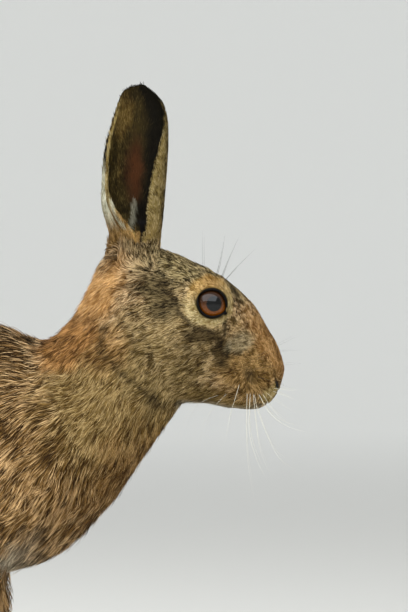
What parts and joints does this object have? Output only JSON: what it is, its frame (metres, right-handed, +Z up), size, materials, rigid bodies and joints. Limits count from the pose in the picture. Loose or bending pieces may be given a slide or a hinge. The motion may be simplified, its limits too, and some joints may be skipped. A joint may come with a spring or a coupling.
{
  "type": "brown hare",
  "caption": "Life-size still model of a brown hare resting on all fours with its head raised and both ears upright",
  "frame": {"origin": "On the floor, under the middle of the animal's box from nose to tail and from side to side.", "axes": "+Z is up, +X runs from the tail to the nose, and +Y is the hare's left side."},
  "size_m": [0.5323, 0.1608, 0.4576],
  "materials": {
    "fur": "short ticked coat, brown on the back and cheeks, peach on the nape",
    "ear_fur": "thin ear fur with a pale rim and a black tip",
    "eye_amber": "glossy amber iris with a black pupil",
    "claw_horn": "dark horn"
  },
  "bodies": {
    "root": {"claw_fore_left_1": "claw_horn", "claw_fore_left_2": "claw_horn", "claw_fore_left_3": "claw_horn", "claw_fore_left_4": "claw_horn", "claw_fore_right_1": "claw_horn", "claw_fore_right_2": "claw_horn", "claw_fore_right_3": "claw_horn", "claw_fore_right_4": "claw_horn", "claw_hind_left_1": "claw_horn", "claw_hind_left_2": "claw_horn", "claw_hind_left_3": "claw_horn", "claw_hind_left_4": "claw_horn", "claw_hind_right_1": "claw_horn", "claw_hind_right_2": "claw_horn", "claw_hind_right_3": "claw_horn", "claw_hind_right_4": "claw_horn", "ear_left": "ear_fur", "ear_right": "ear_fur", "eye_left": "eye_amber", "eye_right": "eye_amber", "foreleg_left": "fur", "foreleg_right": "fur", "forepaw_left": "fur", "forepaw_right": "fur", "head": "fur", "hind_foot_left": "fur", "hind_foot_right": "fur", "neck": "fur", "shank_left": "fur", "shank_right": "fur", "tail": "fur", "thigh_left": "fur", "thigh_right": "fur", "torso": "fur", "upper_foreleg_left": "fur", "upper_foreleg_right": "fur"}
  },
  "joints": []
}
